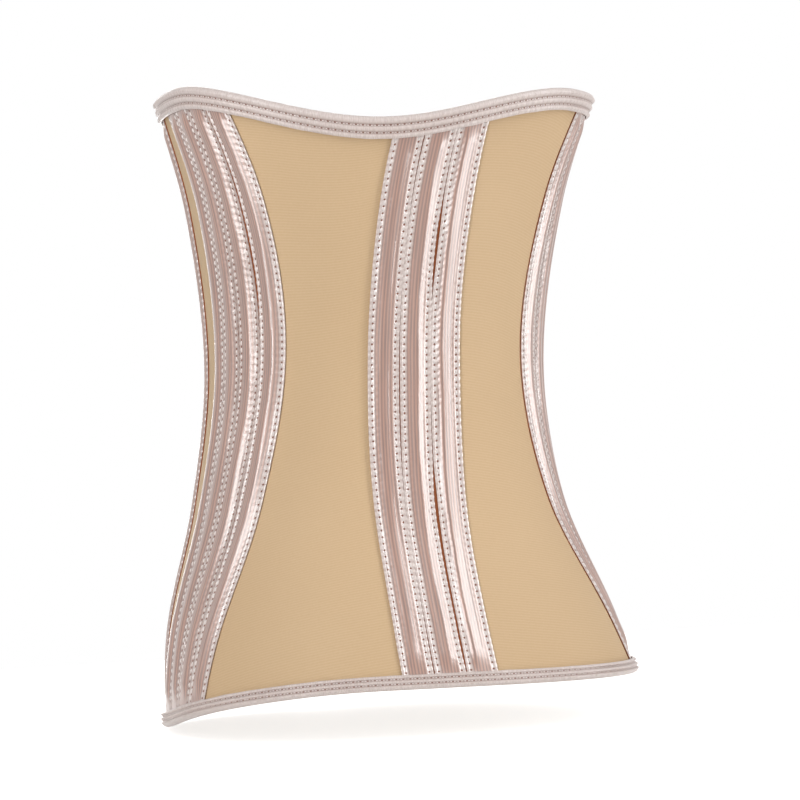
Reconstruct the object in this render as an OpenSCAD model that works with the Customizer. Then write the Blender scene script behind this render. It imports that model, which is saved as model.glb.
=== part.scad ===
// Back brace: a waist cincher of knit panels, boned with flat steels under sewn satin tapes,
// bound at both edges and closed at the front with rows of hooks and eyes.
// The origin is the middle of the waist. +Z is up, the back faces -Y and the closure faces +Y.

/* [Body form] */
// Squareness of the horizontal sections, where 2 is an ellipse
section_power = 2.4; // [2:0.05:2.8]
// Width at the waist
waist_width = 174.5; // [160:0.5:195]
// Depth of the waist behind the middle
waist_back = 74; // [66:1:80]
// Depth of the waist in front of the middle
waist_front = 77; // [70:1:84]
// Height of the rib line above the waist
ribs_rise = 84; // [74:1:94]
// Width at the rib line
ribs_width = 193.5; // [185:0.5:205]
// Depth of the rib line behind the middle
ribs_back = 93.5; // [86:0.5:100]
// Depth of the rib line in front of the middle
ribs_front = 73; // [68:1:78]
// Height of the form's top section above the waist
form_rise = 149; // [142:1:156]
// Width of the form's top section
top_width = 232.5; // [220:0.5:245]
// Depth of the form's top section behind the middle
top_back = 116; // [109:1:123]
// Depth of the form's top section in front of the middle
top_front = 70; // [65:1:76]
// Depth of the flank line below the waist
flank_drop = 74; // [65:1:84]
// Width at the flank line
flank_width = 193.5; // [185:0.5:205]
// Depth of the flank line behind the middle
flank_back = 75.5; // [70:0.5:82]
// Depth of the flank line in front of the middle
flank_front = 84; // [78:1:90]
// Depth of the hip line below the waist
hip_drop = 139; // [128:1:150]
// Width at the hip line
hip_width = 231.5; // [220:0.5:243]
// Depth of the hip line behind the middle
hip_back = 104.5; // [97:0.5:111]
// Depth of the hip line in front of the middle
hip_front = 83; // [77:1:89]
// Depth of the form's lowest section below the waist
form_drop = 198; // [192:1:206]
// Width of the form's lowest section
hem_width = 247.5; // [236:0.5:259]
// Depth of the form's lowest section behind the middle
hem_back = 139.5; // [129:0.5:147]
// Depth of the form's lowest section in front of the middle
hem_front = 74; // [68:1:80]
// Share by which the right half of the form's lowest section is wider than the left half
hem_flare = 0.062; // [0:0.002:0.08]

/* [Edges] */
// Height of the top edge above the waist at its lowest point
top_dip_rise = 121.5; // [114:0.5:129]
// Angle of that lowest point to the left of the centre back
top_dip_angle = 11.5; // [0:0.5:20]
// Height of the top edge above the waist at its left peak
top_left_rise = 143.5; // [136:0.5:149]
// Angle of the left peak from the centre back
top_left_angle = 74.5; // [64:0.5:85]
// Height of the top edge above the waist at its right peak
top_right_rise = 138; // [131:0.5:145]
// Angle of the right peak from the centre back
top_right_angle = 46; // [40:0.5:60]
// Height of the top edge above the waist at the closure
top_front_rise = 140; // [133:0.5:147]
// Depth of the hem below the waist at its highest point
hem_crest_drop = 165.5; // [158:0.5:173]
// Angle of that highest point to the left of the centre back
hem_crest_angle = 16; // [0:0.5:24]
// Depth of the hem below the waist at its lowest point on the left
hem_left_drop = 190.5; // [182:0.5:194]
// Angle of that lowest point from the centre back
hem_left_angle = 122.5; // [110:0.5:135]
// Depth of the hem below the waist on the right
hem_right_drop = 170.5; // [163:0.5:178]
// Angle on the right at which the hem has that depth
hem_right_angle = 110; // [95:0.5:120]
// Depth of the hem below the waist at the closure
hem_front_drop = 182; // [174:0.5:190]

/* [Cloth] */
// Thickness of the knit shell with its core
shell_t = 1.4; // [1:0.1:2]
// Thickness of the cotton lining
lining_t = 0.8; // [0.5:0.1:1.2]
// Gap between two layers of cloth
lay = 0.3; // [0.25:0.05:0.4]
// Gap between two panels at a seam
seam_gap = 0.6; // [0.5:0.1:1]

/* [Boning] */
// Width of one bone tape
tape_w = 14.6; // [13.5:0.1:15]
// Thickness of a bone tape
tape_t = 0.8; // [0.6:0.1:1]
// Width of the flat margin sewn down along each edge of a tape
tape_margin = 2.5; // [2:0.1:3]
// Width of the shoulder between the margin and the channel
tape_shoulder = 1.6; // [1.2:0.1:2]
// Extra height of a tape along its middle
tape_crown = 0.4; // [0.2:0.1:0.8]
// Length over which a tape rises from the binding to its full height
tape_fade = 8; // [6:1:12]
// Width of a flat steel bone
bone_w = 5; // [4:0.5:6]
// Thickness of a flat steel bone
bone_t = 1; // [0.6:0.1:1.4]
// Play of a bone in its channel, above and below
bone_play = 0.35; // [0.3:0.05:0.5]
// Spacing of the tapes at the centre back
centre_pitch = 16.4; // [15.4:0.1:17.5]
// Lean of the centre tapes to the right, growing from the waist up, at the form's top section
centre_lean = 8.6; // [0:0.1:11]
// Spacing of the tapes at the sides
side_pitch = 15.2; // [15.1:0.1:16]
// Angle of the middle of the side tapes from the centre back, at the waist
side_angle = 63.8; // [60:0.1:67]
// Turn of the side tapes towards the back, from the waist up to the form's top section
side_turn = 5.2; // [3:0.1:7]
// Bow of the side tapes away from the back above the waist, at the form's top section
side_bow = 15.4; // [11:0.1:17]
// Bow of the side tapes away from the back below the waist, as far down as that section is up
side_hem_bow = 9.1; // [6:0.1:11]
// Angle of the rear edge of the front tapes from the centre back, at the waist
front_angle = 105.5; // [103:0.5:108]
// Turn of the front tapes towards the back, from the waist up to the form's top section
front_turn = 4.6; // [3:0.1:6]
// Spacing of the front tapes
front_pitch = 15.6; // [15.1:0.1:16.5]

/* [Binding] */
// Height of the folded binding at the top edge
bind_h = 10.5; // [9:0.5:13]
// Height of the folded binding at the hem
hem_bind_h = 6.5; // [6:0.5:10]
// Thickness of the binding
bind_t = 0.8; // [0.6:0.1:1]
// Gap between the edge of the cloth and the fold of the binding
bind_gap = 0.7; // [0.5:0.1:1]
// Gap between the tapes and the binding over them
bind_lay = 0.75; // [0.65:0.05:0.9]

/* [Closure] */
// Spacing of the hooks along the closure
hook_pitch = 22; // [18:1:26]
// Width of a hook
hook_w = 2.4; // [2:0.1:2.8]
// Thickness of a hook
hook_t = 0.7; // [0.6:0.1:0.8]
// Length of a hook from the inside of its bend
hook_len = 9; // [7:0.5:10]
// Length of a hook's tip past the wire that it catches
hook_tip = 2.2; // [1.5:0.1:2.6]
// Diameter of the eye wire
eye_wire = 0.9; // [0.7:0.1:1.1]
// Radius of an eye's loop at the middle of its wire
eye_r = 2.6; // [2.4:0.1:3]
// Length of an eye's legs
eye_leg = 4.5; // [3.5:0.5:5]
// Number of eye columns
eye_columns = 3; // [2:1:3]
// Spacing of the eye columns
eye_pitch = 12; // [11:0.5:13]
// Distance of the first column's wire past the centre front
eye_first = 4; // [3:0.5:5]
// Play between a hook and the wire or the cloth beside it
hook_play = 0.25; // [0.2:0.05:0.3]
// Gap between a hook's shank and the tape over it
hook_cover = 0.6; // [0.5:0.05:0.8]
// Width of the eye tape's free edge past the centre front
eye_tape_lap = 8; // [6:0.5:9]
// Width of the eye tape sewn under the left front panel
eye_tape_seam = 7; // [5:0.5:8]
// Distance from the last eyes to the edge of the left front panel
eye_tape_clear = 8; // [7:0.5:9]
// Distance of the right front panel's edge from the centre front
hook_side_edge = 14.5; // [12:0.5:16]
// Width of the hook tape sewn over the right front panel
hook_tape_seam = 8; // [6:0.5:9]
// Length over which the hook tape lifts off the panel
hook_tape_ramp = 6; // [4:0.5:7]

/* [Hidden] */

centre_count = 3;
side_count = 4;
front_count = 3;
// Strips between rings over the height of a tape or panel, past the short ones at both ends
body_strips = 8;
// Columns between tape groups, beside the closure and under half a group of three tapes
tan_cols = 4;
narrow_cols = 3;
half_cols = 2;
left = -1;
right = 1;
// Side on which a piece stands that is built on the right and mirrored
$side = right;
wire_fn = 24;
// Half the angle over which a slope of the section is measured
probe = 0.2;

tan_colour = "#D2B58F";
satin_colour = "#CDBBB4";
binding_colour = "#D5C4BC";
cotton_colour = "#E3D3BC";
steel_colour = "#B9BBBD";

// Layers, as distances out from the inner face of the shell
tape_base = shell_t + lay;
channel_h = bone_t + 2 * bone_play;
lining_out = -lay;
lining_in = lining_out - lining_t;
leaf_out = tape_base + tape_t + bind_lay;
leaf_in = lining_in - lay;

stations = [
    [-form_drop, hem_width / 2, hem_back, hem_front],
    [-hip_drop, hip_width / 2, hip_back, hip_front],
    [-flank_drop, flank_width / 2, flank_back, flank_front],
    [0, waist_width / 2, waist_back, waist_front],
    [ribs_rise, ribs_width / 2, ribs_back, ribs_front],
    [form_rise, top_width / 2, top_back, top_front]
];
last = len(stations) - 1;

// Slope of one measure at a station, from its neighbours
function station_slope(i, m) =
    let (lo = max(i - 1, 0), hi = min(i + 1, last))
    (stations[hi][m] - stations[lo][m]) / (stations[hi][0] - stations[lo][0]);

function station_below(z, i = 0) =
    i == last - 1 || z <= stations[i + 1][0] ? i : station_below(z, i + 1);

// Smooth cubic through the stations: 1 is half the width, 2 the back depth, 3 the front depth
function measure(z, m) =
    let (
        i = station_below(z),
        h = stations[i + 1][0] - stations[i][0],
        u = (z - stations[i][0]) / h,
        w = u * u * (3 - 2 * u)
    )
    stations[i][m] * (1 - w) + stations[i + 1][m] * w
        + h * station_slope(i, m) * u * (1 - u) * (1 - u)
        - h * station_slope(i + 1, m) * u * u * (1 - u);

// Half width, half depth and middle of the section at a height
function section(z) =
    let (back = measure(z, 2), front = measure(z, 3))
    [measure(z, 1), (back + front) / 2, (front - back) / 2];

// Point of a section at an angle from the centre back, pushed out by t
function section_point(f, phi, t = 0) =
    let (
        p = section_power,
        r = pow(pow(abs(sin(phi)), p) + pow(abs(cos(phi)), p), -1 / p)
    )
    [(f[0] + t) * r * sin(phi), f[2] - (f[1] + t) * r * cos(phi)];

// Share by which the right half is wider, growing from the flank line down
function flare(z) = hem_flare * pow(max(-z - flank_drop, 0) / (form_drop - flank_drop), 2);

function on_body(phi, z, t) =
    let (
        p = section_point(section(z), phi, t),
        wider = placed(phi) > 0 ? 1 + flare(z) : 1
    )
    [p[0] * wider, p[1], z];

// Angle reached from phi after an arc length along the section, in a few midpoint steps
function walk(f, phi, arc, steps = 4) =
    steps == 0 || arc == 0 ? phi :
    let (
        step = arc / steps,
        mid = phi + step / 2 / pace(f, phi)
    )
    walk(f, phi + step / pace(f, mid), arc - step, steps - 1);

// Arc length for each degree
function pace(f, phi) =
    norm(section_point(f, phi + probe) - section_point(f, phi - probe)) / (2 * probe);

// A line up the body is [angle at the waist, turn, bow above, bow below, arc from there, side]
function line_phi(line, z) =
    let (
        w = z / form_rise,
        bow = z > 0 ? line[2] : line[3]
    )
    line[5] * walk(section(z), line[0] - line[1] * w + bow * w * w, line[4]);

// A column is [line, line, share of the way between them]
function column_phi(column, z) =
    let (from = line_phi(column[0], z))
    column[2] == 0 ? from : from + (line_phi(column[1], z) - from) * column[2];

function columns(spans) = concat(
    [for (s = spans) for (i = [0:s[2] - 1]) [s[0], s[1], i / s[2]]],
    [[spans[len(spans) - 1][1], spans[len(spans) - 1][1], 0]]
);

// Angle from the centre back of the finished piece, between -180 and 180
function placed(phi) = $side * (abs(phi) > 180 ? phi - 360 * sign(phi) : phi);

// Top edge: dips behind, rises to a peak of its own on each side, and goes from there to the closure
function top_edge(phi) =
    let (
        q = placed(phi),
        from_dip = q + top_dip_angle,
        peak_rise = from_dip < 0 ? top_left_rise : top_right_rise,
        peak = from_dip < 0 ? top_left_angle : top_right_angle,
        share = abs(from_dip) / (peak + sign(from_dip) * top_dip_angle),
        rise = pow(sin(90 * min(share, 1)), 2),
        rest = pow(sin(90 * max(abs(q) - peak, 0) / (180 - peak)), 2)
    )
    top_dip_rise + (peak_rise - top_dip_rise) * rise - (peak_rise - top_front_rise) * rest;

// Hem: falls from its highest point to a depth of its own on each side, and goes from there to the closure
function hem_edge(phi) =
    let (
        q = placed(phi),
        from_crest = q + hem_crest_angle,
        drop = from_crest < 0 ? hem_left_drop : hem_right_drop,
        at = from_crest < 0 ? hem_left_angle : hem_right_angle,
        share = abs(from_crest) / (at + sign(from_crest) * hem_crest_angle),
        fall = pow(sin(90 * min(share, 1)), 2),
        rest = pow(sin(90 * max(abs(q) - at, 0) / (180 - at)), 2)
    )
    -hem_crest_drop - (drop - hem_crest_drop) * fall - (hem_front_drop - drop) * rest;

function column_top(column, z = top_left_rise, tries = 3) =
    tries == 0 ? z : column_top(column, top_edge(column_phi(column, z)), tries - 1);

function column_hem(column, z = -hem_crest_drop, tries = 3) =
    tries == 0 ? z : column_hem(column, hem_edge(column_phi(column, z)), tries - 1);

// Heights of the rings on a column: edge, binding, end of the fade, then even strips
function ring_heights(column) =
    let (
        hem = column_hem(column),
        top = column_top(column),
        bound_low = hem + hem_bind_h + lay,
        bound_high = top - bind_h - lay,
        low = bound_low + tape_fade,
        high = bound_high - tape_fade
    )
    concat(
        [hem + bind_gap, bound_low],
        [for (i = [0:body_strips]) low + (high - low) * i / body_strips],
        [bound_high, top - bind_gap]
    );

// Closed solid through a row of loops. Points k and the k-th from the end face each other, and the
// faces on both sides are split along the same diagonals, so that layers of cloth stay parallel.
module loft(loops) {
    n = len(loops[0]);
    m = n / 2;
    sides = [
        for (j = [0:len(loops) - 2])
            for (k = [0:n - 1])
                let (a = j * n + k, b = j * n + (k + 1) % n)
                for (face = k < m
                    ? [[a, a + n, b + n], [a, b + n, b]]
                    : [[a, a + n, b], [b, a + n, b + n]]
                ) face
    ];
    end = (len(loops) - 1) * n;
    caps = [
        for (k = [0:m - 2])
            for (face = [
                [k, k + 1, n - 2 - k],
                [k, n - 2 - k, n - 1 - k],
                [end + k, end + n - 1 - k, end + n - 2 - k],
                [end + k, end + n - 2 - k, end + k + 1]
            ]) face
    ];
    polyhedron([for (loop = loops) each loop], concat(sides, caps), convexity = 6);
}

// Sheet of cloth over columns, between two distances from the body. lift_in and lift_out raise
// each column's faces, and with flat_ends they do so only past the fade. trim drops end rings.
module sheet(cols, t_in, t_out, lift_in = [], lift_out = [], flat_ends = false, trim = 0) {
    grid = [for (c = cols) [for (z = ring_heights(c)) [column_phi(c, z), z]]];
    rings = len(grid[0]);
    lifts_in = len(lift_in) > 0 ? lift_in : [for (c = cols) 0];
    lifts_out = len(lift_out) > 0 ? lift_out : lifts_in;
    function full(j) = flat_ends && (j < 2 || j > rings - 3) ? 0 : 1;
    function outer(j, k) =
        on_body(grid[k][j][0], grid[k][j][1], t_out + lifts_out[k] * full(j));
    function inner(j, k) =
        on_body(grid[k][j][0], grid[k][j][1], t_in + lifts_in[k] * full(j));
    count = len(cols);
    loft([
        for (j = [trim:rings - 1 - trim]) concat(
            [for (k = [0:count - 1]) outer(j, k)],
            [for (k = [count - 1:-1:0]) inner(j, k)]
        )
    ]);
}

// Fold-over binding along the top edge (up = 1) or the hem (up = -1)
module binding(cols, up) {
    h = up > 0 ? bind_h : hem_bind_h;
    profile = [
        [[leaf_in - bind_t, -h], [leaf_in, -h]],
        [[leaf_in - bind_t, 0], [leaf_in, -lay]],
        [[leaf_in, bind_t], [leaf_in + lay, 0]],
        [[leaf_out, bind_t], [leaf_out - lay, 0]],
        [[leaf_out + bind_t, 0], [leaf_out, -lay]],
        [[leaf_out + bind_t, -h], [leaf_out, -h]]
    ];
    turned = [for (i = [1:len(profile)]) profile[len(profile) - i]];
    outside = up > 0 ? profile : turned;
    inside = up > 0 ? turned : profile;
    function edge_point(c, z, t) = on_body(column_phi(c, z), z, t);
    loft([
        for (c = cols)
            let (edge = up > 0 ? column_top(c) : column_hem(c))
            concat(
                [for (p = outside) edge_point(c, edge + up * p[0][1], p[0][0])],
                [for (p = inside) edge_point(c, edge + up * p[1][1], p[1][0])]
            )
    ]);
}

// Lines that bound the panels and tapes. Arcs from the centre front run back over the right side.
function centre_line(arc) = [0, 0, centre_lean, 0, arc, 1];
function side_line(arc, side = right) = [side_angle, side_turn, side_bow, side_hem_bow, arc, side];
function front_line(arc) = [front_angle, front_turn, 0, 0, arc, 1];
function closure_line(arc) = [180, 0, 0, 0, -arc, 1];

centre_edge = centre_count * centre_pitch / 2;
side_edge = side_count * side_pitch / 2;
front_edge = front_count * front_pitch;
front_seam = front_edge / 2;
left_edge = eye_first + (eye_columns - 1) * eye_pitch + eye_tape_clear;

// The same line, moved along by an arc
function beside(line, arc) = [line[0], line[1], line[2], line[3], line[4] + arc, line[5]];

// Bone tape whose middle runs along a line at an arc from the line's own place
function tape_columns(line, middle) =
    let (
        from = beside(line, middle - tape_w / 2),
        to = beside(line, middle + tape_w / 2),
        margin = tape_margin / tape_w,
        shoulder = (tape_margin + tape_shoulder) / tape_w
    )
    [for (u = [0, margin, shoulder, 0.5, 1 - shoulder, 1 - margin, 1]) [from, to, u]];

module tape(line, middle) {
    crown = channel_h + tape_crown;
    sheet(
        tape_columns(line, middle), tape_base, tape_base + tape_t,
        lift_in = [0, 0, channel_h, channel_h, channel_h, 0, 0],
        lift_out = [0, 0, channel_h, crown, channel_h, 0, 0],
        flat_ends = true
    );
}

// Flat steel in the channel of a tape, ending where the tape reaches its full height
module bone(line, middle) {
    from = beside(line, middle - bone_w / 2);
    to = beside(line, middle + bone_w / 2);
    under = tape_base + bone_play;
    sheet(columns([[from, to, 1]]), under, under + bone_t, trim = 2);
}

// Arc of the i-th tape's middle from the middle of its group
function group_arc(i, count, pitch) = (i - (count + 1) / 2) * pitch;

// Builds a right-hand piece on its own side
module on_side(side) {
    $side = side;
    mirror([side == left ? 1 : 0, 0, 0]) children();
}

// Spans of columns, from line to line. Panels, linings and bindings share them.
function back_spans(side) = side == right
    ? [
        [centre_line(seam_gap / 2), centre_line(centre_edge), half_cols],
        [centre_line(centre_edge), side_line(-side_edge), tan_cols],
        [side_line(-side_edge), side_line(side_edge), side_count]
    ]
    : [
        [side_line(side_edge, left), side_line(-side_edge, left), side_count],
        [side_line(-side_edge, left), centre_line(-centre_edge), tan_cols],
        [centre_line(-centre_edge), centre_line(-seam_gap / 2), half_cols]
    ];
function whole_back() = columns(concat(
    back_spans(left),
    [[centre_line(-seam_gap / 2), centre_line(seam_gap / 2), 1]],
    back_spans(right)
));
function side_spans() = [
    [side_line(side_edge + seam_gap), front_line(0), narrow_cols],
    [front_line(0), front_line(front_seam - seam_gap / 2), half_cols]
];
function front_spans(side) = [
    [front_line(front_seam + seam_gap / 2), front_line(front_edge), half_cols],
    [front_line(front_edge), closure_line(closure_seam(side)), narrow_cols]
];
function closure_span(side) = [closure_line(closure_seam(side)), closure_line(closure_edge(side)), 1];
function whole_front(side, last_spans) = columns(concat(
    side_spans(),
    [[front_line(front_seam - seam_gap / 2), front_line(front_seam + seam_gap / 2), 1]],
    front_spans(side),
    last_spans
));

// Edge of a front panel, and the line along which its closure tape is sewn to it
function closure_edge(side) = side == left ? left_edge : hook_side_edge;
function closure_seam(side) =
    side == left ? left_edge + eye_tape_seam + seam_gap : hook_side_edge + hook_tape_seam;

// Half of the back, from the centre back seam to the front of the side tapes
module back_panel(side) {
    color(tan_colour) sheet(columns(back_spans(side)), 0, shell_t);
}

// Side panel, from the side tapes to the seam under the front tapes
module side_panel(side) {
    color(tan_colour) on_side(side) sheet(columns(side_spans()), 0, shell_t);
}

// Front panel, from that seam to the closure
module front_panel(side) {
    color(tan_colour) on_side(side)
        sheet(columns(concat(front_spans(side), [closure_span(side)])), 0, shell_t);
}

module back_lining() {
    color(cotton_colour) sheet(whole_back(), lining_in, lining_out);
}

// The left lining ends at the eye tape, which lies level with it
module front_lining(side) {
    color(cotton_colour) on_side(side)
        sheet(whole_front(side, side == left ? [] : [closure_span(side)]), lining_in, lining_out);
}

module centre_tape(i) {
    color(satin_colour) tape(centre_line(0), group_arc(i, centre_count, centre_pitch));
}

module side_tape(side, i) {
    color(satin_colour) on_side(side) tape(side_line(0), group_arc(i, side_count, side_pitch));
}

module front_tape(side, i) {
    color(satin_colour) on_side(side)
        tape(front_line(front_seam), group_arc(i, front_count, front_pitch));
}

module centre_bones() {
    color(steel_colour)
        for (i = [1:centre_count]) bone(centre_line(0), group_arc(i, centre_count, centre_pitch));
}

module side_bones(side) {
    color(steel_colour) on_side(side)
        for (i = [1:side_count]) bone(side_line(0), group_arc(i, side_count, side_pitch));
}

module front_bones(side) {
    color(steel_colour) on_side(side)
        for (i = [1:front_count]) bone(front_line(front_seam), group_arc(i, front_count, front_pitch));
}

module back_binding(up) {
    color(binding_colour) binding(whole_back(), up);
}

module front_binding(side, up) {
    color(binding_colour) on_side(side) binding(whole_front(side, [closure_span(side)]), up);
}

// Closure: each hook lies under the hook tape and its tip goes under the wire of an eye.
// Heights above the face of the eye tape, from the cloth outwards.
tip_low = hook_play;
wire_mid = tip_low + hook_t + hook_play + eye_wire / 2;
shank_low = wire_mid + eye_wire / 2 + hook_play;
bend_r = (shank_low + hook_t - tip_low) / 2;
hook_tape_lift = shank_low + hook_t + hook_cover + lining_out - tape_base;
hook_rows = floor((top_front_rise + hem_front_drop - 2 * (bind_h + eye_r + eye_wire)) / hook_pitch);
rows_low = (top_front_rise - hem_front_drop - hook_rows * hook_pitch) / 2;
eye_foot = lay + eye_wire / 2;
eye_rise = asin((wire_mid - eye_foot) / (eye_leg + eye_r));

// Stands children on the body at an arc past the centre front: +X to the right, +Y outwards
module at_closure(arc, z, t) {
    phi = line_phi(closure_line(-arc), z);
    along = on_body(phi - probe, z, t) - on_body(phi + probe, z, t);
    heading = atan2(along[1], along[0]);
    up = on_body(phi, z + 1, t) - on_body(phi, z - 1, t);
    lean = atan2(up[1] * cos(heading) - up[0] * sin(heading), up[2]);
    translate(on_body(phi, z, t)) rotate([0, 0, heading]) rotate([-lean, 0, 0]) children();
}

// Wire loop with two legs, its bend raised off the tape so that a hook's tip goes under it
module eye() {
    translate([-eye_r * cos(eye_rise), wire_mid - eye_r * sin(eye_rise), 0]) rotate([0, 0, eye_rise]) {
        rotate([90, 0, 0]) rotate([0, 0, -90])
            rotate_extrude(angle = 180, $fn = 2 * wire_fn)
                translate([eye_r, 0]) circle(d = eye_wire, $fn = wire_fn);
        for (s = [-1, 1])
            translate([0, 0, s * eye_r]) rotate([0, -90, 0])
                cylinder(d = eye_wire, h = eye_leg, $fn = wire_fn);
    }
}

// Flat hook: a shank under the hook tape, a round bend past the wire and a tip below it
module hook() {
    mid = tip_low + bend_r;
    translate([0, 0, -hook_w / 2]) linear_extrude(hook_w) {
        translate([-eye_wire / 2 - hook_play, shank_low]) square([hook_len, hook_t]);
        translate([-eye_wire / 2 - hook_play, tip_low]) square([hook_tip + eye_wire, hook_t]);
        translate([-eye_wire / 2 - hook_play, mid]) intersection() {
            difference() {
                circle(r = bend_r, $fn = 2 * wire_fn);
                circle(r = bend_r - hook_t, $fn = 2 * wire_fn);
            }
            translate([-2 * bend_r, -2 * bend_r]) square([2 * bend_r, 4 * bend_r]);
        }
    }
}

module eyes() {
    color(steel_colour)
        for (row = [0:hook_rows]) for (c = [0:eye_columns - 1])
            at_closure(eye_first + c * eye_pitch, rows_low + row * hook_pitch, lining_out) eye();
}

module hooks() {
    color(steel_colour)
        for (row = [0:hook_rows]) at_closure(eye_first, rows_low + row * hook_pitch, lining_out) hook();
}

// The eye tape lies level with the lining, under the edge of the left front panel
module eye_tape() {
    spans = [
        [closure_line(eye_tape_lap), closure_line(0), 1],
        [closure_line(0), closure_line(-left_edge), narrow_cols],
        [closure_line(-left_edge), closure_line(-left_edge - eye_tape_seam), 1]
    ];
    color(satin_colour) sheet(columns(spans), lining_in, lining_out);
}

// The hook tape is sewn over the edge of the right front panel and lifts over the hooks
module hook_tape() {
    free = hook_side_edge - hook_tape_ramp;
    spans = [
        [closure_line(hook_side_edge + hook_tape_seam), closure_line(hook_side_edge), 1],
        [closure_line(hook_side_edge), closure_line(free), 1],
        [closure_line(free), closure_line(-eye_first + hook_len / 2), 1]
    ];
    color(satin_colour)
        sheet(
            columns(spans), tape_base, tape_base + tape_t,
            lift_in = [0, 0, hook_tape_lift, hook_tape_lift]
        );
}

back_panel(left);  // back_panel_left
back_panel(right);  // back_panel_right
back_lining();
centre_tape(1);  // centre_tape_1
centre_tape(2);  // centre_tape_2
centre_tape(3);  // centre_tape_3
side_tape(left, 1);  // left_tape_1
side_tape(left, 2);  // left_tape_2
side_tape(left, 3);  // left_tape_3
side_tape(left, 4);  // left_tape_4
side_tape(right, 1);  // right_tape_1
side_tape(right, 2);  // right_tape_2
side_tape(right, 3);  // right_tape_3
side_tape(right, 4);  // right_tape_4
centre_bones();
side_bones(left);  // left_bones
side_bones(right);  // right_bones
back_binding(1);  // top_binding_back
back_binding(-1);  // hem_binding_back
side_panel(left);  // left_side_panel
front_panel(left);  // left_front_panel
front_lining(left);  // left_front_lining
front_tape(left, 1);  // left_front_tape_1
front_tape(left, 2);  // left_front_tape_2
front_tape(left, 3);  // left_front_tape_3
front_bones(left);  // left_front_bones
front_binding(left, 1);  // left_top_binding
front_binding(left, -1);  // left_hem_binding
eye_tape();
eyes();
side_panel(right);  // right_side_panel
front_panel(right);  // right_front_panel
front_lining(right);  // right_front_lining
front_tape(right, 1);  // right_front_tape_1
front_tape(right, 2);  // right_front_tape_2
front_tape(right, 3);  // right_front_tape_3
front_bones(right);  // right_front_bones
front_binding(right, 1);  // right_top_binding
front_binding(right, -1);  // right_hem_binding
hook_tape();
hooks();
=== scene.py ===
"""Back brace: the looks of a boned waist cincher of knit panels, satin bone tapes and satin binding.

Sizes are in millimetres and angles in degrees until a mesh is made. Every piece is a grid of points on
one body form: a superellipse section at each height, with a distance out from the shell's inner face.
"""
import math

import bpy
import numpy as np
from mathutils import Matrix


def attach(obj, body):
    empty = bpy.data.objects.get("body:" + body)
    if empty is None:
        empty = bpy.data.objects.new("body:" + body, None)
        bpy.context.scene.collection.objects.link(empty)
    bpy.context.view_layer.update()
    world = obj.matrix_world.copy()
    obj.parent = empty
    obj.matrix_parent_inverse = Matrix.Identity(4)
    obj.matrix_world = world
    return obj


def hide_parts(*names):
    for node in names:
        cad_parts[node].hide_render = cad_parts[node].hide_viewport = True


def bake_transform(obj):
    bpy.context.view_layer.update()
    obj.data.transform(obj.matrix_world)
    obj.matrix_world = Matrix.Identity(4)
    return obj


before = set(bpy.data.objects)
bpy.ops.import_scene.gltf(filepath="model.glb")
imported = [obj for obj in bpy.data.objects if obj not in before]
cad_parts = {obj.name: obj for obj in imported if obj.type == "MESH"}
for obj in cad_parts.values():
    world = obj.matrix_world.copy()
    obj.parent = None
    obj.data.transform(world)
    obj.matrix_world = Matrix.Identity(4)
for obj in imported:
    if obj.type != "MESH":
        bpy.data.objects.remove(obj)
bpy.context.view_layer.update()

MM = 0.001
LEFT, RIGHT = -1, 1
SIDES = {"left": LEFT, "right": RIGHT}

# Body form: height, half width, depth behind and in front of the middle, from the hem to the top
SECTION_POWER = 2.4
STATIONS = np.array([
    [-198, 123.75, 139.5, 74],
    [-139, 115.75, 104.5, 83],
    [-74, 96.75, 75.5, 84],
    [0, 87.25, 74, 77],
    [84, 96.75, 93.5, 73],
    [149, 116.25, 116, 70],
])
FORM_RISE = 149
# The right half widens from the flank line to the bottom of the form, by this share there
FLANK_DROP, FORM_DROP, HEM_FLARE = 74, 198, 0.062

# Edges: heights of the top edge at its dip, peaks and closure, depths of the hem, and their angles
TOP_DIP, TOP_LEFT, TOP_RIGHT, TOP_FRONT = 121.5, 143.5, 138, 140
TOP_DIP_ANGLE, TOP_LEFT_ANGLE, TOP_RIGHT_ANGLE = 11.5, 74.5, 46
HEM_CREST, HEM_LEFT, HEM_RIGHT, HEM_FRONT = 165.5, 190.5, 170.5, 182
HEM_CREST_ANGLE, HEM_LEFT_ANGLE, HEM_RIGHT_ANGLE = 16, 122.5, 110

# Steps of the working: half an angle to measure the pace over, and rounds that close in on a place
PROBE = 0.2
ROUNDS = 4

# Layers of cloth, as distances out from the inner face of the shell, and thickness and heights of the binding
SHELL_OUT = 1.4
LINING_IN, LINING_OUT = -1.1, -0.3
TAPE_BASE, TAPE_OUT = 1.7, 2.5
# The brown strip under the tapes is painted shade: a dark sheet seen at their edges and in the gaps between
# them
SHADE_STRIP_IN, SHADE_STRIP_OUT = SHELL_OUT + 0.02, TAPE_BASE + 0.36
BONE_IN, BONE_OUT = TAPE_BASE + 0.35, TAPE_BASE + 1.35
LEAF_OUT, LEAF_IN = 3.25, -1.4
BIND_T, TOP_BIND_H, HEM_BIND_H = 0.8, 10.5, 6.5

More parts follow.
